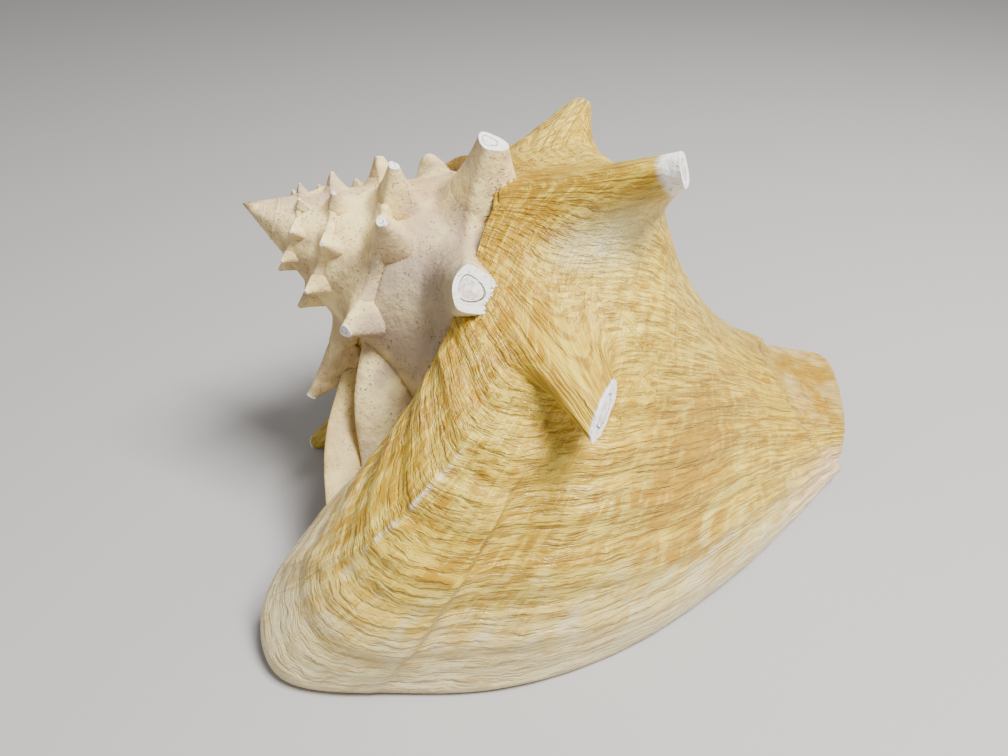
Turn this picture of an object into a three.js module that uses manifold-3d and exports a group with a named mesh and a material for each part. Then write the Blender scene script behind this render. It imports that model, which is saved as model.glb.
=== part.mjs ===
// A large conch shell resting on the edge of its flared lip, its mouth down, in millimetres and +Z up.
// The shell is one grown solid: a coiled spire, a body whorl, the flared lip and a crown of spines.
// It is drawn in shell coordinates, a = distance along the coiling axis from the apex, r = radius
// from that axis, psi = angle round it in degrees (0 up, 90 toward the lip), and then laid on the table.

import * as THREE from "three";
import { ParametricGeometry } from "three/addons/geometries/ParametricGeometry.js";
import { mergeVertices } from "three/addons/utils/BufferGeometryUtils.js";
import Module from "manifold-3d";

// How the coiling axis lies: the apex point, the heading of the axis and its fall toward the canal
const APEX = new THREE.Vector3(-103.801, 9.036, 107.6);
const AXIS_HEADING = 8;
const AXIS_FALL = 28.5;

// Radius and length grow by this factor with every turn of the coil
const GROWTH = 1.57;

// Profile of the whorl at psi = 0, from its seam with the spire, over the shoulder, to the canal
const PROFILE_A = [60, 69, 77, 84, 90, 104, 124, 152, 190, 225];
const PROFILE_R = [37, 42, 47, 52, 55.5, 53, 41, 27, 19, 21];
// The mouth of the canal flares out round this angle, from this t on
const CANAL_FLARE_FROM = 0.8;
const CANAL_FLARE = 6.5;
const CANAL_FLARE_AT = -25;
const CANAL_FLARE_WIDTH = 35;
// How far each point of the profile follows the growth along the axis, 1 wholly, 0 not at all
const FOLLOW_A = [1, 1, 1, 1, 1, 0.85, 0.55, 0.25, 0.08, 0];
// Where the row of spines stands on the profile, and how far down it a turn of the spire shows
const SHOULDER = 0.43;
const SPIRE_REACH = 0.5;

// Edge of the flared lip, from the rear tip of the wing to the corner beside the canal
const LIP_A = [60, 49, 44, 52, 78, 108, 140, 174, 203, 225];
const LIP_R = [64, 86, 110, 128, 125, 118, 103, 77, 51, 29];
const LIP_PSI = [122, 132, 141, 137, 130, 123, 117, 109, 101, 83];
// The lip leaves the coil at this angle, slowly at first; the powers set how late it turns outward
const FLARE_START = -10;
const FLARE_TURN = 137;
const FLARE_POWER_A = [2.2, 2.4, 2.8, 3.2, 3.2, 2.8, 2.2, 1.8, 1.6, 1.5];
const FLARE_POWER_R = [2.4, 2.6, 3.0, 3.5, 3.8, 3.7, 3.2, 2.8, 2.4, 2.0];

// Wall of the last whorl and lip: thickness and width of its rounded rim. It starts sunk into the
// inner whorl, and between these angles its outside comes out and its inside comes clear, and by
// another angle it is at full thickness
const WALL = 4.6;
const WALL_AT_EDGE = 3.4;
const RIM = 3.2;
const WALL_START = -97;
const WALL_SINK = 3;
const OUTSIDE_RISES = [-97, -88];
const INSIDE_RISES = [-78, -60];
const WALL_FULL = -42;
// Length of the wall along the growth and of its profile
const GROWTH_LENGTH = 190;
const PROFILE_LENGTH = 250;
// The wall's mesh is denser toward the lip edge and toward the seam and the canal by these shares
const DENSER_AT_EDGE = 1.3;
const DENSER_AT_ENDS = 0.3;

// The inner body whorl starts here and is one turn; the spire's turns follow before it, given as
// columns and rows from the largest to the apex
const CORE_START = -436;
const SPIRE_MESH = [[30, 5], [24, 4], [20, 4], [16, 3], [12, 3]];
// Where two turns meet: share of the radius at a turn's ends, width of the step, share at its dip
const TUCK = 0.98;
const STEP = 8;
const DIP = 0.9;
// Where a turn closes on the axis, as shares of the a of its seam and of its shoulder
const TOP_POLE = 0.85;
const BOTTOM_POLE = 1.3;
// The columella: how much the inner whorl shrinks and shortens inside the mouth, between which
// angles it comes to that, between which t it grows slim, and from which a it shortens
const COLUMELLA_SLIM = 0.62;
const COLUMELLA_SHORT = 0.3;
const COLUMELLA_PSI = [-200, -100];
const COLUMELLA_T = [0.5, 0.95];
const COLUMELLA_FROM = 150;
const COLUMELLA_END = 208;

// How deep a spine's edge and its floor lie under the coil: below it on the solid inner whorls, and
// a little above it, inside the wall, on the last whorl
const IN_WHORL = { edge: 0.7, floor: 2.6 };
const IN_WALL = { edge: -1, floor: -0.5 };
// Spines of the last whorl: psi and t of the middle of the patch that each grows from, tip (a, r, psi),
// the patch's half width along the growth and across it, height of the sawn or worn end as a share of
// the full spine (1 = a sharp point), sharpness, and for a slanting cut the way that its face looks
const SPINES = [
  { root: [69, 0.33], tip: [91, 87, 74], along: 18, across: 23, sawn: 0.52, power: 1.7, face: [0.56, 0.55, 0.57] },
  { root: [27, 0.32], tip: [93, 88.5, 32], along: 19, across: 26, sawn: 0.58, power: 1.6, face: [0.6, 0.69, 0.39] },
  { root: [-20, 0.37], tip: [87, 72, -22], along: 12, across: 14, sawn: 0.6, power: 1.3 },
  { root: [-60, 0.43], tip: [84, 72, -62], along: 14, across: 13, sawn: 0.8, power: 1.3 },
  { root: [-104, 0.43], tip: [80, 70, -106], along: 14, across: 13, sawn: 0.8, power: 1.3 },
  { root: [-140, 0.43], tip: [72, 70, -143], along: 13, across: 13, sawn: 0.8, power: 1.2 },
  { root: [-166, 0.43], tip: [56.5, 94, -170], along: 15, across: 15, sawn: 0.62, power: 1.2 },
];
// Spines of the two largest turns of the spire, the same way
const SPIRE_SPINES = [
  { root: [-297, 0.43], tip: [57, 57, 64], along: 13, across: 14, sawn: 0.5, power: 1.4, face: [0.27, 0.56, 0.74] },
  { root: [-341, 0.43], tip: [53, 55.5, 18], along: 12, across: 12, sawn: 0.6, power: 1.4 },
  { root: [-407, 0.43], tip: [50, 41, -50], along: 9, across: 9, sawn: 0.6, power: 1.3 },
  { root: [-452, 0.43], tip: [46, 44, -92], along: 10, across: 10, sawn: 0.8, power: 1.3 },
  { root: [-505, 0.43], tip: [44, 42, -145], along: 10, across: 10, sawn: 0.8, power: 1.3 },
  { root: [-560, 0.43], tip: [39, 50, 158], along: 11, across: 10, sawn: 0.85, power: 1.1 },
  { root: [-612, 0.43], tip: [37, 34, 108], along: 8, across: 8, sawn: 0.7, power: 1.3 },
  { root: [-668, 0.43], tip: [34, 36, 50], along: 8, across: 8, sawn: 0.8, power: 1.3 },
  { root: [-698, 0.43], tip: [33, 37, 22], along: 8, across: 8, sawn: 0.8, power: 1.3 },
  { root: [-742, 0.43], tip: [32, 29, -22], along: 7, across: 7, sawn: 0.8, power: 1.3 },
];
// Above them the spines stand at even steps back along the shoulder from this angle
const KNOB_FIRST = -786;
const KNOB_STEP = 44.5;
const KNOB_COUNT = 18;
const KNOB_RISE = 1.36;
const KNOB_LEAN = 0.93;
const KNOB_WIDTH = 0.3;
const KNOB_SAWN = 0.85;
const KNOB_POWER = 1.2;

// Two leaves of shell between the spire and the wing: the last flange of the spire and the end of
// the inner lip. Points along the middle (a, r, psi), and the direction that each is thin in
const LEAVES = [
  { stations: [[54, 6, 124], [59, 27, 127], [61, 44, 134], [64, 60, 139], [64, 76, 138]], width: 19, thickness: 7 },
  { stations: [[46, 20, 158], [50, 41, 151], [53, 63, 143], [56, 94, 131]], width: 10.5, thickness: 5 },
];
const LEAF_FLAT = [-0.1, 1, 50];

const radians = THREE.MathUtils.degToRad;
const clamp = THREE.MathUtils.clamp;
const smoothstep = THREE.MathUtils.smoothstep;

// Value of a smooth curve through evenly spaced knots, x from 0 to 1
function along(knots, x) {
  const last = knots.length - 1;
  const place = clamp(x, 0, 1) * last;
  const i = Math.min(Math.floor(place), last - 1);
  const f = place - i;
  const slope = (k) => {
    const before = knots[Math.max(k - 1, 0)];
    const after = knots[Math.min(k + 1, last)];
    return k === 0 || k === last ? after - before : (after - before) / 2;
  };
  const rise = knots[i + 1] - knots[i];
  const bend = f * (1 - f) * ((slope(i) - rise) * (1 - f) - (slope(i + 1) - rise) * f);
  return knots[i] + rise * f + bend;
}

// Point of the coil at angle psi, t running from the seam (0) to the canal (1)
function coil(psi, t) {
  const grown = GROWTH ** (psi / 360);
  const offFlare = (psi - CANAL_FLARE_AT) / CANAL_FLARE_WIDTH;
  const canal = CANAL_FLARE * smoothstep(t, CANAL_FLARE_FROM, 1) * Math.exp(-(offFlare ** 2));
  const a = along(PROFILE_A, t) * grown ** along(FOLLOW_A, t);
  const r = along(PROFILE_R, t) * grown + canal;
  return { a, r, psi };
}

// Point of the last whorl and lip, g running from 0 where the flare begins to 1 at the lip edge
function lastWhorl(g, t) {
  if (g <= 0) {
    return coil(FLARE_START + FLARE_TURN * g, t);
  }
  const edge = along(LIP_PSI, t);
  const here = coil(FLARE_START + (edge - FLARE_START) * g, t);
  const plain = coil(edge, t);
  here.a += (along(LIP_A, t) - plain.a) * g ** along(FLARE_POWER_A, t);
  here.r += (along(LIP_R, t) - plain.r) * g ** along(FLARE_POWER_R, t);
  return here;
}

// Shell coordinates to a point with x along the axis, y up and z toward the lip
function point({ a, r, psi }) {
  return new THREE.Vector3(a, r * Math.cos(radians(psi)), r * Math.sin(radians(psi)));
}

// Outward normal of a surface given as a function of two parameters
function normalOf(surface, u, v) {
  const step = 0.002;
  const du = surface(u + step, v).sub(surface(u - step, v));
  const dv = surface(u, Math.min(v + step, 1)).sub(surface(u, Math.max(v - step, 0)));
  return du.cross(dv).normalize();
}

// One inner turn of the coil as a solid: columns round the axis from psi = start, rows from the top
// pole over the profile to the bottom pole. It starts and ends a little drawn in, so that each turn
// passes under its neighbour, and a steep step, dipped halfway, leads back to its own beginning
function turnSolid({ start, columns, rows, reach, topPole, bottomPole, shape }) {
  const column = (360 - STEP) / columns;
  return new ParametricGeometry((u, v, target) => {
    const i = Math.round(u * (columns + 2));
    const row = Math.round(v * (rows + 2));
    if (row === 0 || row === rows + 2) {
      target.set(row === 0 ? topPole : bottomPole, 0, 0);
      return;
    }
    const psi = i > columns ? start : start + column * i;
    const place = shape(psi, (reach * (row - 1)) / rows);
    if (i > columns) {
      place.psi += i === columns + 1 ? -STEP / 2 : 0;
    }
    place.r *= i === columns + 1 ? DIP : 1;
    place.r *= i > 0 && i < columns ? 1 : TUCK;
    target.copy(point(place));
  }, columns + 2, rows + 2);
}

// A turn of the spire, the plain coil down to a little below the seam of the next turn
function spireTurn(start, columns, rows, isFirst) {
  const grown = GROWTH ** (start / 360);
  return turnSolid({
    start,
    columns,
    rows,
    reach: SPIRE_REACH,
    topPole: isFirst ? 0 : PROFILE_A[0] * grown * TOP_POLE,
    bottomPole: PROFILE_A[5] * grown * BOTTOM_POLE,
    shape: coil,
  });
}

// The inner part of the body whorl: it thins and shortens to the columella inside the mouth
function coreTurn() {
  return turnSolid({
    start: CORE_START,
    columns: 36,
    rows: 13,
    reach: 1,
    topPole: PROFILE_A[0] * GROWTH ** (CORE_START / 360) * TOP_POLE,
    bottomPole: COLUMELLA_END,
    shape: (psi, t) => {
      const place = coil(psi, t);
      const inside = 1 - smoothstep(psi, ...COLUMELLA_PSI);
      place.r *= 1 - COLUMELLA_SLIM * inside * smoothstep(t, ...COLUMELLA_T);
      place.a -= COLUMELLA_SHORT * inside * Math.max(place.a - COLUMELLA_FROM, 0);
      return place;
    },
  });
}

// The last whorl and lip as a wall: a loop over the inside and back along the outside, which meet in
// a rounded rim
function wallSolid(growthSteps, loopSteps) {
  const first = (WALL_START - FLARE_START) / FLARE_TURN;
  const inner = (g, t) => point(lastWhorl(g, t));
  return new ParametricGeometry((u, v, target) => {
    const g = 1 - (1 - first) * (1 - v) ** DENSER_AT_EDGE;
    const loop = u < 0.5 ? 2 * u : 2 - 2 * u;
    const t = loop - (DENSER_AT_ENDS * Math.sin(2 * Math.PI * loop)) / (2 * Math.PI);
    const psi = FLARE_START + FLARE_TURN * g;
    const outward = normalOf(inner, g, t);
    const isOutside = u > 0.5 && u < 1;
    const sunk = 1 - smoothstep(psi, ...(isOutside ? OUTSIDE_RISES : INSIDE_RISES));
    target.copy(inner(g, t)).addScaledVector(outward, -WALL_SINK * sunk);
    if (isOutside) {
      const fromEdge = Math.min((1 - g) * GROWTH_LENGTH, Math.min(t, 1 - t) * PROFILE_LENGTH) / RIM;
      const round = Math.sqrt(Math.max(1 - (1 - clamp(fromEdge, 0, 1)) ** 2, 0));
      const wall = THREE.MathUtils.lerp(WALL, WALL_AT_EDGE, clamp(g, 0, 1));
      const risen = smoothstep(psi, WALL_START, WALL_FULL);
      target.addScaledVector(outward, wall * round * risen);
    }
  }, loopSteps * 2, growthSteps);
}

// The last whorl at angle psi, whether before or after the flare begins
function lastWhorlAt(psi, t) {
  if (psi <= FLARE_START) {
    return coil(psi, t);
  }
  return lastWhorl((psi - FLARE_START) / (along(LIP_PSI, t) - FLARE_START), t);
}

// A spine: an oval patch of the surface drawn out to the tip, where it is cut off square, with a floor
// that follows the same surface a little deeper
function spineSolid({ whorl, root, tip, along: length, across, sawn, power, face }, rings, sides) {
  const [rootPsi, rootT] = root;
  const foot = whorl(rootPsi, rootT);
  const middle = point(foot);
  const near = 0.02;
  const behind = point(whorl(rootPsi, rootT - near));
  const ahead = point(whorl(rootPsi, rootT + near));
  const perT = ahead.distanceTo(behind) / (2 * near);
  const reach = point({ a: tip[0], r: tip[1], psi: tip[2] }).sub(middle);
  const depth = rootPsi > WALL_START ? IN_WALL : IN_WHORL;
  const upSpine = reach.clone().normalize();
  const facing = face ? new THREE.Vector3(...face).normalize() : upSpine;
  const floorRings = 2;
  return new ParametricGeometry((u, v, target) => {
    const ring = Math.round(v * (rings + floorRings));
    const out = ring <= rings ? ring / rings : 1 - (ring - rings) / floorRings;
    const turn = 2 * Math.PI * u;
    const psi = rootPsi + THREE.MathUtils.radToDeg((length * out * Math.cos(turn)) / foot.r);
    const t = rootT + (across * out * Math.sin(turn)) / perT;
    const place = whorl(psi, t);
    place.r -= ring <= rings ? depth.edge * out : depth.floor;
    const rise = ring <= rings ? Math.min((1 - out) ** power, sawn) / sawn : 0;
    target.copy(point(place));
    const above = target.clone().sub(middle).dot(facing) / upSpine.dot(facing);
    target.addScaledVector(reach, rise).addScaledVector(upSpine, -above * rise);
  }, sides, rings + floorRings);
}

// The row of spire spines, ever smaller toward the apex
function spireSpines() {
  const spines = [];
  for (let i = 0; i < KNOB_COUNT; i += 1) {
    const psi = KNOB_FIRST - KNOB_STEP * i;
    const foot = coil(psi, SHOULDER);
    const tip = [foot.a * KNOB_LEAN, foot.r * KNOB_RISE, psi];
    const width = foot.r * KNOB_WIDTH;
    const spine = {
      whorl: coil,
      root: [psi, SHOULDER],
      tip,
      along: width,
      across: width,
      sawn: KNOB_SAWN,
      power: KNOB_POWER,
    };
    spines.push(spineSolid(spine, 2, i < KNOB_COUNT / 2 ? 6 : 5));
  }
  return spines;
}

// A narrow leaf of shell along a curve: an oval section that swells and dies away at both ends
function leafSolid(stations, width, thickness, flat, steps, sides) {
  const spine = new THREE.CatmullRomCurve3(stations.map(([a, r, psi]) => point({ a, r, psi })));
  return new ParametricGeometry((u, v, target) => {
    const centre = spine.getPoint(v);
    const forward = spine.getTangent(v);
    const thin = flat.clone().addScaledVector(forward, -flat.dot(forward)).normalize();
    const wide = thin.clone().cross(forward);
    const swell = Math.sqrt(Math.max(Math.sin(Math.PI * v), 0));
    const turn = 2 * Math.PI * u;
    target.copy(centre);
    target.addScaledVector(wide, (width / 2) * swell * Math.cos(turn));
    target.addScaledVector(thin, (thickness / 2) * swell * Math.sin(turn));
  }, sides, steps);
}

// Closed outward mesh of a parametric surface, as a solid
const wasm = await Module();
wasm.setup();
function solid(geometry) {
  geometry.deleteAttribute("normal");
  geometry.deleteAttribute("uv");
  const merged = mergeVertices(geometry, 1e-4);
  const corners = merged.index.array;
  const spots = merged.attributes.position;
  const faces = [];
  let volume = 0;
  const [p, q, s] = [new THREE.Vector3(), new THREE.Vector3(), new THREE.Vector3()];
  for (let i = 0; i < corners.length; i += 3) {
    const [a, b, c] = [corners[i], corners[i + 1], corners[i + 2]];
    if (a !== b && b !== c && c !== a) {
      faces.push(a, b, c);
      p.fromBufferAttribute(spots, a);
      q.fromBufferAttribute(spots, b);
      s.fromBufferAttribute(spots, c);
      volume += p.dot(q.cross(s));
    }
  }
  if (volume < 0) {
    faces.reverse();
  }
  return new wasm.Manifold(new wasm.Mesh({
    numProp: 3,
    vertProperties: new Float32Array(spots.array),
    triVerts: new Uint32Array(faces),
  }));
}

let body = solid(coreTurn());
let start = CORE_START;
SPIRE_MESH.forEach(([columns, rows], i) => {
  start -= 360 - STEP - (360 - STEP) / columns;
  body = body.add(solid(spireTurn(start, columns, rows, i === SPIRE_MESH.length - 1)));
});
body = body.add(solid(wallSolid(36, 20)));
for (const spine of SPINES) {
  body = body.add(solid(spineSolid({ whorl: lastWhorlAt, ...spine }, 4, 10)));
}
for (const spine of SPIRE_SPINES) {
  body = body.add(solid(spineSolid({ whorl: coil, ...spine }, 3, 9)));
}
for (const spine of spireSpines()) {
  body = body.add(solid(spine));
}
const leafFlat = point({ a: LEAF_FLAT[0], r: LEAF_FLAT[1], psi: LEAF_FLAT[2] }).normalize();
for (const leaf of LEAVES) {
  body = body.add(solid(leafSolid(leaf.stations, leaf.width, leaf.thickness, leafFlat, 8, 8)));
}

// Lay the shell down, and take off what would reach below the table
const axis = new THREE.Vector3(
  Math.cos(radians(AXIS_FALL)) * Math.cos(radians(AXIS_HEADING)),
  Math.cos(radians(AXIS_FALL)) * Math.sin(radians(AXIS_HEADING)),
  -Math.sin(radians(AXIS_FALL)),
);
const upward = new THREE.Vector3(
  Math.sin(radians(AXIS_FALL)) * Math.cos(radians(AXIS_HEADING)),
  Math.sin(radians(AXIS_FALL)) * Math.sin(radians(AXIS_HEADING)),
  Math.cos(radians(AXIS_FALL)),
);
const sideways = axis.clone().cross(upward);
const pose = new THREE.Matrix4().makeBasis(axis, upward, sideways).setPosition(APEX);
const laid = new THREE.BufferGeometry();
const coiled = body.getMesh();
laid.setAttribute("position", new THREE.BufferAttribute(coiled.vertProperties.slice(), 3));
laid.setIndex(new THREE.BufferAttribute(new Uint32Array(coiled.triVerts), 1));
laid.applyMatrix4(pose);
const aboveTable = new THREE.BoxGeometry(600, 600, 300).translate(0, 0, 150);
const resting = solid(laid).intersect(solid(aboveTable)).getMesh();

const shellGeometry = new THREE.BufferGeometry();
shellGeometry.setAttribute("position", new THREE.BufferAttribute(resting.vertProperties, 3));
shellGeometry.setIndex(new THREE.BufferAttribute(resting.triVerts, 1));
shellGeometry.computeVertexNormals();
const shell = new THREE.Mesh(
  shellGeometry,
  new THREE.MeshStandardMaterial({ color: 0xd9b77c, roughness: 0.4, metalness: 0 }),
);
shell.name = "conch_shell";

const conch = new THREE.Group();
conch.add(shell);
export default conch;
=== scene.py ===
# A queen conch shell resting mouth down on the edge of its lip, as in the photograph, on a pale table.
import math

import bpy
import mathutils
import numpy as np
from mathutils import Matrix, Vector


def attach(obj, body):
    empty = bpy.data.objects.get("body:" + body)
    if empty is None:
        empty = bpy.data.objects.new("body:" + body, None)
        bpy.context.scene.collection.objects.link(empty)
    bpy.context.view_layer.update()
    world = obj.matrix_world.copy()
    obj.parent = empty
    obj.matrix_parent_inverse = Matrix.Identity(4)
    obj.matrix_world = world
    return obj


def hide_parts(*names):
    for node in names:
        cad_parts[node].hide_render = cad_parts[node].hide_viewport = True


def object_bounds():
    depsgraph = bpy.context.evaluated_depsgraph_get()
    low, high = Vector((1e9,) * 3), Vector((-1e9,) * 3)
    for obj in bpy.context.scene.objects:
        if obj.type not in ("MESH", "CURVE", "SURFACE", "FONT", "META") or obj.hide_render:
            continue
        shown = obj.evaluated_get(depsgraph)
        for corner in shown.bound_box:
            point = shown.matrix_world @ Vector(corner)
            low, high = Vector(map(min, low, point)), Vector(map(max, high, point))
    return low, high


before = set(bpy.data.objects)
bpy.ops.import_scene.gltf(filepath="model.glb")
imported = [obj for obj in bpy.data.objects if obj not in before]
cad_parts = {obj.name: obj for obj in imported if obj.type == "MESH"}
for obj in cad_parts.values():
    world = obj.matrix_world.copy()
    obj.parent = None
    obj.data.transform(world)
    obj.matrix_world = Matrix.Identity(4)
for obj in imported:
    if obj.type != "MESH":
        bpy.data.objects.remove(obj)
cad_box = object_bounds()
bpy.ops.object.select_all(action="DESELECT")

# The coil
#
# A shell follows its coil, so it is drawn in shell coordinates, in millimetres and degrees: a, the
# distance along the coiling axis from the apex, r, the radius round it, and psi, the angle (0 up, 90
# toward the lip). t runs over the profile from the seam with the spire (0) to the canal (1).
GROWTH = 1.57
PROFILE_A = np.array([60, 69, 77, 84, 90, 104, 124, 152, 190, 225.0])
PROFILE_R = np.array([37, 42, 47, 52, 55.5, 53, 41, 27, 19, 21])
FOLLOW_A = np.array([1, 1, 1, 1, 1, 0.85, 0.55, 0.25, 0.08, 0])
LIP_A = np.array([60, 49, 44, 52, 78, 108, 140, 174, 203, 225.0])
LIP_R = np.array([64, 86, 110, 128, 125, 118, 103, 77, 51, 29.0])
LIP_PSI = np.array([122, 132, 141, 137, 130, 123, 117, 109, 101, 83.0])
FLARE_POWER_A = np.array([2.2, 2.4, 2.8, 3.2, 3.2, 2.8, 2.2, 1.8, 1.6, 1.5])
FLARE_POWER_R = np.array([2.4, 2.6, 3.0, 3.5, 3.8, 3.7, 3.2, 2.8, 2.4, 2.0])
FLARE_START = -10
FLARE_TURN = 137
SHOULDER = 0.43


def along(knots, x):
    last = len(knots) - 1
    slopes = np.gradient(knots)
    place = np.clip(x, 0, 1) * last
    i = np.minimum(place.astype(int), last - 1)
    f = place - i
    rise = knots[i + 1] - knots[i]
    bend = (slopes[i] - rise) * (1 - f) - (slopes[i + 1] - rise) * f
    return knots[i] + rise * f + f * (1 - f) * bend


def smooth(x, low, high):
    x = np.clip((x - low) / (high - low), 0, 1)
    return x * x * (3 - 2 * x)


def coil(psi, t):
    grown = GROWTH ** (psi / 360)
    canal = 6.5 * smooth(t, 0.8, 1) * np.exp(-(((psi + 25) / 35) ** 2))
    return along(PROFILE_A, t) * grown ** along(FOLLOW_A, t), along(PROFILE_R, t) * grown + canal, psi


def last_whorl(g, t):
    edge = along(LIP_PSI, t)
    flared = np.maximum(g, 0)
    psi = FLARE_START + np.where(g > 0, edge - FLARE_START, FLARE_TURN) * g
    a, r, psi = coil(psi, t)
    plain_a, plain_r, _ = coil(edge, t)
    a = a + (along(LIP_A, t) - plain_a) * flared ** along(FLARE_POWER_A, t)
    r = r + (along(LIP_R, t) - plain_r) * flared ** along(FLARE_POWER_R, t)
    return a, r, psi


# g runs over the last whorl's growth, from 0 where it begins to flare to 1 at the lip edge
def to_growth(psi, t):
    turn = np.where(psi > FLARE_START, along(LIP_PSI, t) - FLARE_START, FLARE_TURN)
    return (psi - FLARE_START) / turn


def growth_age(g):
    return FLARE_START + FLARE_TURN * g


def last_whorl_at(psi, t):
    return last_whorl(to_growth(psi, t), t)


def point(a, r, psi):
    angle = np.radians(psi)
    return np.stack(np.broadcast_arrays(a, r * np.cos(angle), r * np.sin(angle)), -1)


# Skin of the last whorl
#
# The outside of the wall: a few millimetres out from the coil, with keels that run on from the spines,
# waves of growth toward the lip edge, and a step where the lip ends over the canal.
WALL = 4.6
WALL_AT_EDGE = 3.4
RIM = 3.2
RELIEF_FROM_EDGE = 6
GROWTH_LENGTH = 190
PROFILE_LENGTH = 250
# The wall starts sunk into the inner whorl. Its outside is out and its inside clear by these ages, and
# by another it is at full thickness
WALL_START = -97
WALL_SINK = 3
OUTSIDE_OUT = -88
INSIDE_CLEAR = (-78, -60)
WALL_FULL = -42
NEAR_G = 0.002
NEAR_T = 0.003
# Where the fold under the keel, the low keel and the edge over the canal run, as t at these ages
FOLD_AGE = [80, 93, 113, 127]
FOLD_T = [0.383, 0.387, 0.415, 0.43]
LOW_KEEL_AGE = [80, 106, 121]
LOW_KEEL_T = [0.24, 0.25, 0.175]
CANAL_AGE = [-20, 15, 55, 72, 97, 110, 127]
CANAL_T = [0.9, 0.862, 0.854, 0.864, 0.9, 0.942, 1.02]


def bump(x, width):
    return np.exp(-((x / width) ** 2))


def fold(age, t):
    return t - np.interp(age, FOLD_AGE, FOLD_T), smooth(age, 80, 97) * (1 - 0.5 * smooth(age, 112, 124))


def beyond_canal(age, t):
    return t - np.interp(age, CANAL_AGE, CANAL_T)


def relief(age, t):
    below, late = fold(age, t)
    keel = 2.0 * bump(below, 0.035) - 2.9 * smooth(below, 0, 0.012) * (1 - smooth(below, 0.03, 0.15))
    low_keel = 1.1 * bump(t - np.interp(age, LOW_KEEL_AGE, LOW_KEEL_T), 0.018) * smooth(age, 76, 92)
    beyond = beyond_canal(age, t)
    step = 1.1 * bump(beyond + 0.016, 0.016) - 2.9 * smooth(beyond, -0.002, 0.014)
    step = step * smooth(age, -45, -15)
    bend = np.sin(6 * t + 0.4 * np.sin(19 * t))
    waves = 0.55 * np.sin((age + 3 * bend) * 2 * np.pi / 10.5) * smooth(age, 40, 95)
    waves += 0.26 * np.sin((age + 2 * bend) * 2 * np.pi / 4.1 + 5 * t) * smooth(age, 20, 70)
    ribs = 0.22 * np.sin(2 * np.pi * t * 27 + 0.03 * age) * (0.5 + 0.5 * np.sin(age / 17 + 9 * t))
    return keel * late + low_keel + step + (waves + ribs) * smooth(t, 0, 0.04) * smooth(age, -80, -40)


def outward_way(g, t):
    on = point(*last_whorl(g + NEAR_G, t)) - point(*last_whorl(g - NEAR_G, t))
    down = point(*last_whorl(g, t + NEAR_T)) - point(*last_whorl(g, t - NEAR_T))
    way = np.cross(on, down)
    return way / np.maximum(np.linalg.norm(way, axis=-1, keepdims=True), 1e-9)


def skin(g, t):
    age = growth_age(g)
    from_edge = np.minimum((1 - g) * GROWTH_LENGTH, np.minimum(t, 1 - t) * PROFILE_LENGTH)
    thick = (WALL + (WALL_AT_EDGE - WALL) * np.clip(g, 0, 1)) * smooth(age, WALL_START, WALL_FULL)
    rim = np.sqrt(1 - (1 - np.clip(from_edge / RIM, 0, 1)) ** 2)
    sunk = WALL_SINK * (1 - smooth(age, WALL_START, OUTSIDE_OUT))
    raised = thick * rim - sunk + relief(age, t) * np.clip(from_edge / RELIEF_FROM_EDGE, 0, 1)
    return point(*last_whorl(g, t)) + outward_way(g, t) * raised[..., None]


def last_skin(psi, t):
    return skin(to_growth(psi, t), t)


def coil_skin(psi, t):
    return point(*coil(psi, t))


# Spines
#
# Each spine is the surface round its root drawn out to a tip, and most are sawn or worn off flat. The
# shoulder of the last whorl carries large ones, and every turn of the spire a row of small ones.
TAKEOVER = 0.5
SPINE_FLOOR = 4
INNER_RINGS = [0.3, 0.6, 0.85, 0.96]


# A closed mesh with what its surface is at each vertex: how far it has grown (age, in degrees), t,
# how chalky, pink and sawn it is, and how much painted shadow lies along its creases
def mesh_object(name, points, faces, age, t, chalk=0, pink=0, sawn=0, crease_shade=0):
    mesh = bpy.data.meshes.new(name)
    mesh.from_pydata(points.reshape(-1, 3).tolist(), [], faces)
    mesh.validate()
    looks = dict(age=age, t=t, chalk=chalk, pink=pink, sawn=sawn, crease_shade=crease_shade, known=1)
    for key, value in looks.items():
        layer = mesh.attributes.new(key, "FLOAT", "POINT")
        values = np.broadcast_to(value, points.shape[:-1]).astype(np.float32).ravel()
        layer.data.foreach_set("value", np.ascontiguousarray(values))
    made = bpy.data.objects.new(name, mesh)
    bpy.context.collection.objects.link(made)
    return made


def outward(piece):
    bpy.context.view_layer.objects.active = piece
    piece.select_set(True)
    bpy.ops.object.mode_set(mode="EDIT")
    bpy.ops.mesh.select_all(action="SELECT")
    bpy.ops.mesh.normals_make_consistent(inside=False)
    bpy.ops.object.mode_set(mode="OBJECT")
    piece.select_set(False)


def quads(*corners):
    return np.stack(corners, -1).reshape(-1, 4).tolist()


def fan(pole, ring, after):
    return [[pole, *pair] for pair in zip(ring, after)]


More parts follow.
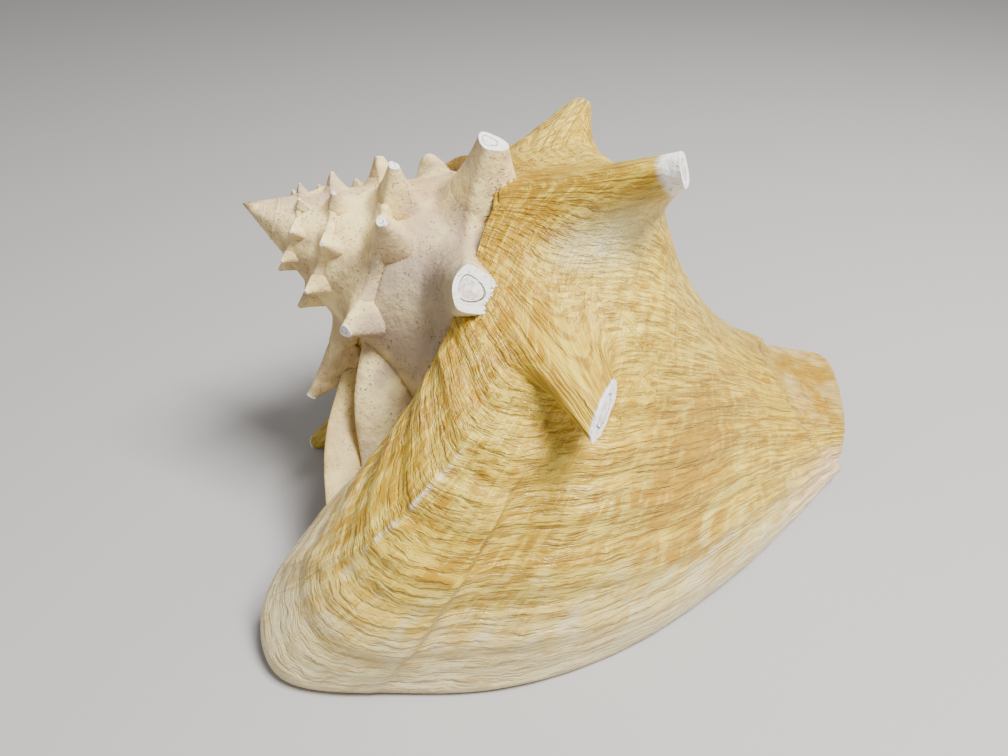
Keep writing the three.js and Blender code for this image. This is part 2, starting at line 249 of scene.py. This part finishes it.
class Spine:
    """end and foot are half sizes, in mm, along the growth and down the profile; face is the way that
    a slanting cut looks, and worn the share of the flank that has lost its colour."""

    def __init__(self, surface, whorl, root, tip, end, foot, power, face=None, worn=0.0):
        self.surface, self.root, self.end, self.foot = surface, root, end, foot
        self.power, self.worn = power, worn
        psi, t = np.float64(root[0]), np.float64(root[1])
        near = point(*whorl(np.full(2, psi), t + np.array([-0.02, 0.02])))
        self.per_t = np.linalg.norm(near[1] - near[0]) / 0.04
        self.per_psi = math.radians(1) * whorl(psi, t)[1]
        self.base = surface(psi, t)
        self.reach = point(*tip) - self.base
        self.way = self.reach / np.linalg.norm(self.reach)
        self.facing = self.way if face is None else np.array(face) / np.linalg.norm(face)

    def radius(self, sizes, turn):
        return 1 / np.hypot(np.cos(turn) / sizes[0], np.sin(turn) / sizes[1])

    def place(self, far, turn):
        psi = self.root[0] + far * np.cos(turn) / self.per_psi
        return psi, self.root[1] + far * np.sin(turn) / self.per_t

    def draw_out(self, points, far, turn):
        end, foot = self.radius(self.end, turn), self.radius(self.foot, turn)
        rise = np.clip((foot - far) / (foot - end), 0, 1) ** self.power
        above = (points - self.base) @ self.facing / (self.way @ self.facing)
        return points + rise[..., None] * (self.reach - above[..., None] * self.way)

    # The whorl's own surface rises in the spine's foot, up to where the spine's solid takes over
    def flare(self, points, psi, t):
        x, y = (psi - self.root[0]) * self.per_psi, (t - self.root[1]) * self.per_t
        far, turn = np.hypot(x, y), np.arctan2(y, x)
        end, foot = self.radius(self.end, turn), self.radius(self.foot, turn)
        takeover = end * (1 - TAKEOVER) + foot * TAKEOVER
        drawn = self.draw_out(points, np.maximum(far, takeover), turn)
        return np.where((far < foot)[..., None], drawn, points)

    def solid(self, rings, sides, chalk):
        turn = np.linspace(0, 2 * np.pi, sides, endpoint=False)
        end, foot = self.radius(self.end, turn), self.radius(self.foot, turn)
        inner = np.array(INNER_RINGS)[:, None] * end
        outer = end + (foot - end) * 0.64 * np.linspace(0, 1, rings)[:, None] ** 1.3
        far = np.concatenate([inner, outer])
        turn = np.broadcast_to(turn, far.shape)
        psi, t = self.place(far, turn)
        drawn = self.draw_out(self.surface(psi, t), far, turn)
        out = np.cross(np.gradient(drawn, axis=0), np.roll(drawn, -1, axis=1) - np.roll(drawn, 1, axis=1))
        out /= np.maximum(np.linalg.norm(out, axis=2, keepdims=True), 1e-9)
        out *= np.sign((out[1] @ self.way).mean())
        down = (far - end) / (foot - end)
        sunk = 1.5 * np.clip(down - 0.48, 0, 1) / 0.16 - 0.06 * smooth(down, 0, 0.3)
        drawn -= out * sunk[..., None]
        far, psi, t = [np.concatenate([values, values[1:2]]) for values in (far, psi, t)]
        under = SPINE_FLOOR * self.way
        drawn = np.concatenate([drawn, self.surface(psi[-1:], t[-1:]) - under])
        points = np.concatenate([drawn.reshape(-1, 3), [self.base + self.reach], [self.base - under]])
        number = np.arange(far.size).reshape(far.shape)
        after = np.roll(number, -1, axis=1)
        faces = quads(number[:-1], number[1:], after[1:], after[:-1])
        faces += fan(far.size, number[0], after[0]) + fan(far.size + 1, after[-1], number[-1])
        down = (far - end) / (foot - end)
        cap = np.where(down < -0.001, 2 - far / end, np.clip(1.4 - 1.4 * down / (self.worn + 1e-6), 0, 1))
        cap[-1] = 0
        age = psi if self.surface is coil_skin else growth_age(to_growth(psi, t))
        made = mesh_object("spine", points, faces, np.append(age, [age[0, 0], age[0, 0]]),
                           np.append(t, [self.root[1], self.root[1]]), chalk, 0, np.append(cap, [2, 0]))
        outward(made)
        return made


# Rows of place (psi, t) and tip (a, r, psi), half sizes of end and foot, sharpness of the foot's rise,
# and for a slanting cut its face and the worn share
LAST_SPINES = [
    ((69, 0.33), (91, 87, 74), (5.7, 7.4), (28, 35), 9.0, (0.56, 0.55, 0.57), 0.012),
    ((27, 0.32), (93, 88.5, 32), (5.5, 8.0), (32, 42), 4.2, (0.6, 0.69, 0.39), 0.07),
    ((-20, 0.36), (87, 72, -22), (4.4, 4.2), (13, 12), 1.6),
    ((-60, 0.43), (84, 72, -62), (2.6, 2.4), (22, 22), 2.6),
]
last_spines = [Spine(last_skin, last_whorl_at, *row) for row in LAST_SPINES]
CORE_SPINES = [
    ((-104, 0.43), (80, 70, -106), (2.6, 2.4), (20, 20), 2.4),
    ((-140, 0.43), (72, 70, -143), (2.4, 2.4), (20, 20), 2.4),
    ((-166, 0.43), (56.5, 94, -170), (4.6, 4.6), (20, 20), 1.9),
    ((-297, SHOULDER), (57, 57, 64 - 360), (6.0, 6.4), (19, 17), 2.6, (0.27, 0.56, 0.74)),
    ((-341, SHOULDER), (53, 55.5, 18 - 360), (4.0, 4.0), (17, 15), 2.3),
    ((-407, SHOULDER), (50, 41, -50 - 360), (3.0, 3.0), (14, 13), 2.2),
]
core_spines = [Spine(coil_skin, coil, *row) for row in CORE_SPINES]
# Rows of psi, tip, half size of the end and of the foot, and sharpness
SPIRE_SPINES = [
    (-452, (46, 44, -92), 1.7, 15, 2.2),
    (-505, (44, 42, -145), 1.7, 15, 2.2),
    (-560, (39, 50, 158), 1.6, 15, 1.9),
    (-612, (37, 34, 108), 1.9, 12, 2.1),
    (-668, (34, 36, 50), 1.5, 12, 2.1),
    (-698, (33, 37, 22), 1.5, 12, 2.1),
    (-742, (32, 29, -22), 1.3, 10, 2.1),
]
spire_spines = [Spine(coil_skin, coil, (psi, SHOULDER), tip, (end, end), (foot, foot * 0.9), power)
                for psi, tip, end, foot, power in SPIRE_SPINES]
KNOB_FIRST = -786
KNOB_STEP = 44.5
KNOB_COUNT = 18
KNOB_LEAN = 0.93
KNOB_RISE = 1.36
KNOB_END = np.array([0.04, 0.04])
KNOB_FOOT = np.array([0.44, 0.42])
KNOB_POWER = 1.9
for psi in KNOB_FIRST - KNOB_STEP * np.arange(KNOB_COUNT):
    a, r, _ = coil(psi, np.float64(SHOULDER))
    tip = (a * KNOB_LEAN, r * KNOB_RISE, psi)
    sizes = (r * KNOB_END, r * KNOB_FOOT)
    spire_spines.append(Spine(coil_skin, coil, (psi, SHOULDER), tip, *sizes, KNOB_POWER))

# Inner whorls
#
# One turn of the coil as a closed solid, thinned at both ends so that each turn passes under its
# neighbour. The body's inner turn goes on inside the mouth as the columella.
CORE_START = -436
CORE_MESH = (176, 110)
COLUMELLA_END = 208
COLUMELLA_SLIM = 0.62
COLUMELLA_SHORT = 0.3
COLUMELLA_PSI = (-200, -100)
COLUMELLA_T = (0.5, 0.95)
COLUMELLA_FROM = 150
SPIRE_MESH = [(170, 36), (150, 30), (110, 24), (80, 18), (60, 12)]
SPIRE_REACH = 0.5
# From the start of one turn of the spire to the next, the step at its end, and the lap under the next
TURN = 340
TURN_STEP = 8
TURN_LAP = 12
# Where a turn closes on the axis, as shares of the a of its seam and of its shoulder
TOP_POLE = 0.85
BOTTOM_POLE = 1.3


def join(whole, part):
    union = whole.modifiers.new("union", "BOOLEAN")
    union.operation = "UNION"
    union.solver = "MANIFOLD"
    union.object = part
    bpy.context.view_layer.objects.active = whole
    bpy.ops.object.modifier_apply(modifier="union")
    bpy.data.objects.remove(part)


def turn(name, start, columns, rows, reach, top, bottom, body=False):
    end = start + 360 - TURN_STEP
    psi = np.append(start + np.linspace(0, 360 - TURN_STEP, columns), end + TURN_STEP / 2)
    t = np.linspace(0, reach, rows)
    grid_psi, grid_t = np.meshgrid(psi, t, indexing="ij")
    ends = np.clip(1 - np.minimum(grid_psi - start, end - grid_psi) / TURN_LAP, 0, 1)
    surface = coil_skin(np.append(psi[:-1], start)[:, None], grid_t)
    tucked = 1 if body else 1 - smooth(grid_t, 0.44, 0.49)[..., None]
    plain = surface.copy()
    for spine in core_spines + spire_spines:
        surface[:-1] = spine.flare(surface[:-1], grid_psi[:-1], grid_t[:-1])
    surface = plain + (surface - plain) * tucked
    inside = (1 - smooth(grid_psi, *COLUMELLA_PSI)) * body
    shrink = (1 - COLUMELLA_SLIM * inside * smooth(grid_t, *COLUMELLA_T)) * (1 - 0.01 * ends)
    shrink[-1] *= 0.9
    surface[..., 1:] *= shrink[..., None]
    surface[..., 0] -= COLUMELLA_SHORT * inside * np.maximum(surface[..., 0] - COLUMELLA_FROM, 0)
    poles = np.array([[top, 0, 0], [bottom, 0, 0]])
    points = np.concatenate([surface.reshape(-1, 3), poles])
    number = np.arange(surface[..., 0].size).reshape(surface.shape[:2])
    after = np.roll(number, -1, axis=0)
    faces = quads(number[:, :-1], after[:, :-1], after[:, 1:], number[:, 1:])
    faces += fan(number.size, after[:, 0], number[:, 0]) + fan(number.size + 1, number[:, -1], after[:, -1])
    chalk = 1 - smooth(grid_psi, -245, -215) if body else np.ones_like(grid_psi)
    pink = np.where(grid_psi < -230, smooth(grid_t, 0.5, 0.62), 0) * body
    age, t = np.append(grid_psi, [start, start]), np.append(grid_t, [0, reach])
    chalk, pink = np.append(chalk, [1, 0]), np.append(pink, [0, 1])
    return mesh_object(name, points, faces, age, t, chalk=chalk, pink=pink)


start = CORE_START
top = PROFILE_A[0] * GROWTH ** (start / 360) * TOP_POLE
shell = turn("shell", start, *CORE_MESH, 1, top, COLUMELLA_END, body=True)
for i, mesh_size in enumerate(SPIRE_MESH):
    start -= TURN
    grown = GROWTH ** (start / 360)
    top = 0 if i == len(SPIRE_MESH) - 1 else PROFILE_A[0] * grown * TOP_POLE
    join(shell, turn("spire turn", start, *mesh_size, SPIRE_REACH, top, PROFILE_A[5] * grown * BOTTOM_POLE))

# Last whorl and lip
#
# The wall that shows: outside and inside sheets that meet in a rounded rim. It comes out of the inner
# whorl at the back.
WALL_MESH = (204, 136)
DENSER_AT_EDGE = 1.3
DENSER_AT_ENDS = 1.3


def wall():
    across, down = WALL_MESH
    first = (WALL_START - FLARE_START) / FLARE_TURN
    g = 1 - (1 - first) * (1 - np.linspace(0, 1, across + 1)) ** DENSER_AT_EDGE
    fine = np.linspace(0, 1, 2001)
    density = 1 + DENSER_AT_ENDS * bump(fine, 0.02) + DENSER_AT_ENDS * bump(1 - fine, 0.02)
    spread = np.cumsum(density) - density[0]
    t = np.interp(np.linspace(0, 1, down + 1), spread / spread[-1], fine)
    g, t = np.meshgrid(g, t, indexing="ij")
    age = growth_age(g)
    coiled = point(*last_whorl(g, t))
    outside = skin(g, t)
    for spine in last_spines:
        outside = spine.flare(outside, last_whorl(g, t)[2], t)
    sunk = WALL_SINK * (1 - smooth(age, *INSIDE_CLEAR))
    inside = coiled - outward_way(g, t) * sunk[..., None]
    outer = np.arange(g.size).reshape(g.shape)
    inner = outer.copy()
    inner[1:-1, 1:-1] = g.size + np.arange((across - 1) * (down - 1)).reshape(across - 1, down - 1)
    faces = quads(outer[:-1, :-1], outer[1:, :-1], outer[1:, 1:], outer[:-1, 1:])
    faces += quads(inner[:-1, 1:], inner[1:, 1:], inner[1:, :-1], inner[:-1, :-1])
    points = np.concatenate([outside.reshape(-1, 3), inside[1:-1, 1:-1].reshape(-1, 3)])
    pink = np.append(np.zeros(g.size), np.ones((across - 1) * (down - 1)))
    below, late = fold(age, t)
    # Painted shadow lines: dark along the fold's step under the keel and along the lip's edge over the
    # canal
    crease_shade = 0.55 * bump(below - 0.008, 0.007) * late
    crease_shade += 0.8 * bump(beyond_canal(age, t) - 0.009, 0.010) * smooth(age, -45, -15)
    age, t, crease_shade = [np.append(values, values[1:-1, 1:-1]) for values in (age, t, crease_shade)]
    return mesh_object("wall", points, faces, age, t, pink=pink, crease_shade=crease_shade)


join(shell, wall())
for spine in last_spines:
    join(shell, spine.solid(22, 56, 0))
for i, spine in enumerate(core_spines):
    join(shell, spine.solid(15, 40, 0 if i < 3 else 1))
for i, spine in enumerate(spire_spines):
    join(shell, spine.solid(8, 28 if i < len(SPIRE_SPINES) else 14, 1))

# Leaves beside the mouth
#
# Between the spire and the wing stand two leaves of shell: the last flange of the spire, chalky and
# pitted, which narrows downward, and the end of the inner lip, thin and cream.
LEAF_STEPS = 41
LEAF_SIDES = 32
# Points along the middle (a, r, psi), from under the spire down
FLANGE = [(54, 6, 124), (59, 27, 127), (61, 44, 134), (64, 60, 139), (64, 76, 138)]
INNER_LIP = [(46, 20, 158), (50, 41, 151), (53, 63, 143), (56, 94, 131)]


def leaf(stations, widths, thickness, chalk):
    stations = point(*np.array(stations, float).T)
    share = np.linspace(0, 1, LEAF_STEPS)
    centre = np.stack([along(stations[:, k], share) for k in range(3)], -1)
    width = along(np.array(widths, float), share)[:, None, None]
    forward = np.gradient(centre, axis=0)
    forward /= np.linalg.norm(forward, axis=1, keepdims=True)
    flat = point(-0.1, 1, 50)
    thin = flat - forward * (forward @ flat)[:, None]
    thin /= np.linalg.norm(thin, axis=1, keepdims=True)
    wide = np.cross(thin, forward)
    swell = np.sin(np.pi * np.linspace(0.004, 0.996, LEAF_STEPS))[:, None, None] ** 0.4
    turn = np.linspace(0, 2 * np.pi, LEAF_SIDES, endpoint=False)[None, :, None]
    across = wide[:, None] * width / 2 * np.cos(turn) + thin[:, None] * thickness / 2 * np.sin(turn)
    points = np.concatenate([(centre[:, None] + swell * across).reshape(-1, 3), [centre[0]], [centre[-1]]])
    number = np.arange(LEAF_STEPS * LEAF_SIDES).reshape(LEAF_STEPS, LEAF_SIDES)
    after = np.roll(number, -1, axis=1)
    faces = quads(number[:-1], number[1:], after[1:], after[:-1])
    faces += fan(number.size, number[0], after[0]) + fan(number.size + 1, after[-1], number[-1])
    made = mesh_object("leaf", points, faces, np.full(len(points), 40.0), 0.45, chalk=chalk)
    outward(made)
    return made


join(shell, leaf(FLANGE, widths=[34, 30, 24, 17, 8], thickness=7, chalk=1))
join(shell, leaf(INNER_LIP, widths=[8, 10, 13, 8], thickness=3.6, chalk=0.55))

# The shell as it lies
#
# The seams between the joined pieces take their values from the vertices round them. The shell is
# then turned and lowered onto the table, and kept inside the CAD's box.
APEX = (-103.801, 9.036, 107.6)
HEADING = math.radians(8)
FALL = math.radians(28.5)
FILL_PASSES = 8
mesh = shell.data
count = len(mesh.vertices)
spots = np.empty(count * 3, np.float32)
mesh.vertices.foreach_get("co", spots)
spots = spots.reshape(-1, 3).astype(float)
edges = np.empty(len(mesh.edges) * 2, np.int32)
mesh.edges.foreach_get("vertices", edges)
edges = edges.reshape(-1, 2)
known = np.empty(count, np.float32)
mesh.attributes["known"].data.foreach_get("value", known)
known = (known > 0.99).astype(float)
keys = ("age", "t", "chalk", "pink", "sawn", "crease_shade")
looks = np.empty((len(keys), count), np.float32)
for key, values in zip(keys, looks):
    mesh.attributes[key].data.foreach_get("value", values)
for _ in range(FILL_PASSES):
    total = np.zeros_like(looks)
    weight = np.zeros(count)
    for here, there in (edges.T, edges.T[::-1]):
        np.add.at(weight, here, known[there])
        for values, summed in zip(looks, total):
            np.add.at(summed, here, values[there] * known[there])
    filled = (known == 0) & (weight > 0)
    looks[:, filled] = total[:, filled] / weight[filled]
    known[filled] = 1
for key, values in zip(keys, looks):
    mesh.attributes[key].data.foreach_set("value", values)

level = np.array([math.cos(HEADING), math.sin(HEADING), 0])
forward = level * math.cos(FALL) - [0, 0, math.sin(FALL)]
upward = level * math.sin(FALL) + [0, 0, math.cos(FALL)]
laid = spots @ np.stack([forward, upward, np.cross(forward, upward)]) + APEX
laid = np.clip(laid / 1000, np.array(cad_box[0]) + 1e-5, np.array(cad_box[1]) - 1e-5)
laid[:, 2] = np.maximum(laid[:, 2], 0)
mesh.vertices.foreach_set("co", laid.astype(np.float32).ravel())
mesh.update()
shell.name = "shell"
shell.select_set(True)
bpy.context.view_layer.objects.active = shell
bpy.ops.object.shade_smooth_by_angle(angle=math.radians(35))
shell.select_set(False)
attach(shell, "root")
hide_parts("conch_shell")
print("shell", len(mesh.vertices), "vertices", sum(len(p.vertices) - 2 for p in mesh.polygons), "triangles")

# The look of the shell
#
# Colours and fine relief follow the growth. Ochre streaks and thin dark lines lie along the lines of
# growth, paler bands cross them along the coil. The spire is chalky and pitted, the mouth pink.
class Value:
    """A value in the shader: arithmetic on it adds maths nodes, and node() adds any other."""

    def __init__(self, socket):
        self.socket = socket

    def node(self, kind, output, inputs, **settings):
        tree = self.socket.id_data
        made = tree.nodes.new(kind)
        for key, value in settings.items():
            setattr(made, key, value)
        for key, value in inputs.items():
            if isinstance(value, Value):
                tree.links.new(value.socket, made.inputs[key])
            else:
                made.inputs[key].default_value = value
        return Value(made.outputs[output])

    def math(self, operation, other=0.0):
        return self.node("ShaderNodeMath", 0, {0: self, 1: other}, operation=operation)

    def __add__(self, other):
        return self.math("ADD", other)

    def __sub__(self, other):
        return self.math("SUBTRACT", other)

    def __mul__(self, other):
        return self.math("MULTIPLY", other)

    def __rsub__(self, other):
        return self.node("ShaderNodeMath", 0, {0: other, 1: self}, operation="SUBTRACT")

    __radd__ = __add__
    __rmul__ = __mul__

    def ramp(self, low, high):
        ends = {0: self, 1: low, 2: high, 3: 0.0, 4: 1.0}
        return self.node("ShaderNodeMapRange", 0, ends, interpolation_type="SMOOTHSTEP")

    def peak(self, at, width):
        return (self - at).math("ABSOLUTE").ramp(width, 0.0)

    def mix(self, a, b):
        a, b = [x if isinstance(x, Value) else (*x, 1.0) for x in (a, b)]
        return self.node("ShaderNodeMix", 2, {0: self, 6: a, 7: b}, data_type="RGBA")

    # Noise drawn out over the shell: so many lumps to a degree of growth, and so many down the profile
    def noise(self, to_a_degree, down, profile, detail=3.0):
        place = self.node("ShaderNodeCombineXYZ", 0, {0: self * to_a_degree, 1: profile * down})
        settings = {"Vector": place, "Scale": 1.0, "Detail": detail, "Roughness": 0.6}
        return self.node("ShaderNodeTexNoise", 0, settings)


material = bpy.data.materials.new("shell")
material.use_nodes = True
principled = material.node_tree.nodes["Principled BSDF"]
first = Value(principled.outputs[0])
age, t, chalk, pink, sawn, crease_shade = [first.node("ShaderNodeAttribute", 2, {}, attribute_name=name)
                                     for name in ("age", "t", "chalk", "pink", "sawn", "crease_shade")]
spot = first.node("ShaderNodeTexCoord", 3, {})


def cloud(size, detail=3.0):
    settings = {"Vector": spot, "Scale": 1 / size, "Detail": detail, "Roughness": 0.6}
    return spot.node("ShaderNodeTexNoise", 0, settings)


# Body: cream yellow under ochre streaks along the lines of growth, which are strongest near the seam
# and the spines, crossed by paler threads and blocks, and thin brown lines; the margin is paler
swerve = (cloud(0.018, 2.0) - 0.5) * 1.7 + (cloud(0.004, 2.0) - 0.5) * 0.7
wavy_age = age + swerve
streak = wavy_age.noise(0.80, 26.0, t).ramp(0.38, 0.64)
broad = wavy_age.noise(0.15, 9.0, t, 2.0).ramp(0.38, 0.62)
threads = age.noise(0.10, 75.0, t, 3.0).ramp(0.46, 0.66)
blocks = age.noise(0.16, 30.0, t, 2.0).ramp(0.48, 0.68)
line = wavy_age.noise(1.30, 14.0, t, 2.0).ramp(0.48, 0.64)
margin = (age + blocks * 6.0).ramp(106.0, 126.0)
near_seam = t.ramp(0.30, 0.06)
# The hollow of the wing right of the middle: richer ochre, and darker with painted shade where the hollow
# lies
valley_ochre_and_shade = t.peak(0.67, 0.14) * age.peak(90.0, 28.0)
canal = t.ramp(0.86, 0.95) * age.ramp(96.0, 70.0)
deep = (near_seam + canal).math("MINIMUM", 1.0) * 0.34 + valley_ochre_and_shade * 0.5
ochre = streak * 0.42 + broad * 0.26 + deep + 0.2
ochre = ochre * (1 - threads * 0.52) * (1 - blocks * 0.46) * (1 - margin * 0.5)
cream = cloud(0.03).ramp(0.35, 0.65).mix((0.80, 0.55, 0.05), (0.88, 0.68, 0.11))
cream = margin.mix(cream, (0.74, 0.63, 0.34))
rich = cloud(0.045).ramp(0.4, 0.62).mix((0.43, 0.23, 0.008), (0.50, 0.265, 0.008))
body = ochre.ramp(0.0, 0.95).mix(cream, rich)
# Darker brown in the wing's hollow: partly its own richer ochre, partly painted shade
body = (valley_ochre_and_shade * 0.35).mix(body, (0.40, 0.24, 0.04))
body = (line * (1 - margin * 0.5) * 0.55).mix(body, (0.26, 0.12, 0.010))
white_keel = (t + swerve * 0.003).peak(0.25, 0.012) * age.ramp(84.0, 92.0) * age.ramp(110.0, 104.0)
white_keel = white_keel * cloud(0.005).ramp(0.42, 0.58)
body = (white_keel * 0.55).mix(body, (0.95, 0.90, 0.72))
# A pale patch round the foot of the second large spine: partly its own paler colour, partly painted light
# where that face turns to the lamp
pale_lit_facet = t.peak(0.34, 0.20) * age.peak(38.0, 12.0) * cloud(0.012).ramp(0.25, 0.55)
body = (pale_lit_facet * 0.8).mix(body, (0.96, 0.88, 0.50))
# Painted shadow: darker along the fold's step and along the lip's edge over the canal
body = (crease_shade * (cloud(0.006) * 0.8 + 0.25)).mix(body, (0.22, 0.11, 0.02))
corner = t.ramp(0.80, 0.97) * age.ramp(92.0, 116.0)
body = (corner * 0.55).mix(body, (0.86, 0.60, 0.44))
trumpet = t.ramp(0.88, 0.91) * age.ramp(96.0, 70.0)
tan = cloud(0.012).ramp(0.4, 0.6).mix((0.60, 0.32, 0.02), (0.88, 0.64, 0.24))
body = (trumpet * 0.6).mix(body, tan)

# Spire: chalk, from cream over pinkish beige to a purplish grey low down, the grey partly painted shade on
# the lower faces, with small dark pits
chalk_colour = cloud(0.014).ramp(0.38, 0.60).mix((0.60, 0.42, 0.20), (0.92, 0.73, 0.33))
chalk_colour = cloud(0.030).ramp(0.50, 0.66).mix(chalk_colour, (0.56, 0.41, 0.26))
# Purplish grey on the lower faces of the spire's last turn: partly its own colour, partly painted shade
grey_and_painted_shade = age.peak(-292.0, 46.0) * t.ramp(0.46, 0.36) * 0.75
chalk_colour = grey_and_painted_shade.mix(chalk_colour, (0.34, 0.27, 0.19))
pits = cloud(0.0008, 1.0).ramp(0.62, 0.74) * cloud(0.008).ramp(0.42, 0.58)
chalk_colour = (pits * 0.55).mix(chalk_colour, (0.22, 0.15, 0.09))
colour = chalk.mix(body, chalk_colour)
# Painted shade: a dark line in the seam where the body meets the spire
seam_shade = t.peak(0.0, 0.007) * (1 - chalk)
colour = (seam_shade * 0.8).mix(colour, (0.14, 0.07, 0.03))

# Sawn faces: white, with a dark ring and a rough pinkish core
crack = sawn.peak(1.45, 0.045) * cloud(0.004).ramp(0.3, 0.5)
core = sawn.ramp(1.48, 1.56)
sawn_colour = (core * cloud(0.0025).ramp(0.42, 0.6)).mix((0.93, 0.90, 0.82), (0.72, 0.58, 0.50))
sawn_colour = (crack * 0.8).mix(sawn_colour, (0.24, 0.16, 0.10))
is_sawn = sawn.ramp(0.5, 0.9)
colour = is_sawn.mix(colour, sawn_colour)

# Mouth: pink and glossy, cream toward the lip edge
pink_colour = age.ramp(127.0, 95.0).mix((0.88, 0.62, 0.42), (0.86, 0.36, 0.24))
colour = pink.mix(colour, pink_colour)

dull = (chalk + is_sawn).math("MINIMUM", 1.0)
roughness = dull * 0.46 + cloud(0.006).ramp(0.35, 0.65) * 0.16 + 0.24
lines = (streak - line) * 0.35 + threads * 0.25 + wavy_age.noise(0.33, 3.0, t, 2.0) * 0.9
grain = cloud(0.0016) * 0.5 + cloud(0.006) * 1.2 - pits * 0.9 - crack * 1.5
height = lines * (1 - dull) * (1 - pink * 0.9) + grain * dull
raised = height.node("ShaderNodeBump", 0, {"Height": height, "Strength": 0.8, "Distance": 0.0009})
links = material.node_tree.links
links.new(colour.socket, principled.inputs["Base Color"])
links.new(roughness.socket, principled.inputs["Roughness"])
links.new(raised.socket, principled.inputs["Normal"])
principled.inputs["IOR"].default_value = 1.45
shell.data.materials.clear()
shell.data.materials.append(material)

# Table, light and camera
#
# A pale table, a soft lamp overhead at the front right, and the camera where the photographer stood:
# close, a little above the shell and in front of its lip.
LAMP_PLACE = mathutils.Vector((0.36, -0.20, 0.88))
CAMERA_PLACE = (-0.0258, -0.20396, 0.198)
CAMERA_DOWN = 36
bpy.ops.mesh.primitive_plane_add(size=6, location=(0, 0, 0))
table = bpy.context.object
table.name = "table"
pale = bpy.data.materials.new("table")
pale.use_nodes = True
finish = pale.node_tree.nodes["Principled BSDF"]
finish.inputs["Base Color"].default_value = (0.44, 0.42, 0.40, 1)
finish.inputs["Roughness"].default_value = 0.6
table.data.materials.append(pale)

lamp_turn = LAMP_PLACE.to_track_quat("Z", "Y").to_euler()
bpy.ops.object.light_add(type="AREA", location=LAMP_PLACE, rotation=lamp_turn)
lamp = bpy.context.object
lamp.data.size = 0.34
lamp.data.energy = 24
world = bpy.data.worlds.new("room")
bpy.context.scene.world = world
world.use_nodes = True
background = world.node_tree.nodes["Background"]
background.inputs["Color"].default_value = (0.95, 0.97, 1, 1)
background.inputs["Strength"].default_value = 0.42

bpy.ops.object.camera_add(location=CAMERA_PLACE, rotation=(math.radians(90 - CAMERA_DOWN), 0, 0))
camera = bpy.context.object
camera.data.lens = 27.04
camera.data.sensor_width = 36
camera.data.clip_start = 0.01
bpy.context.scene.camera = camera
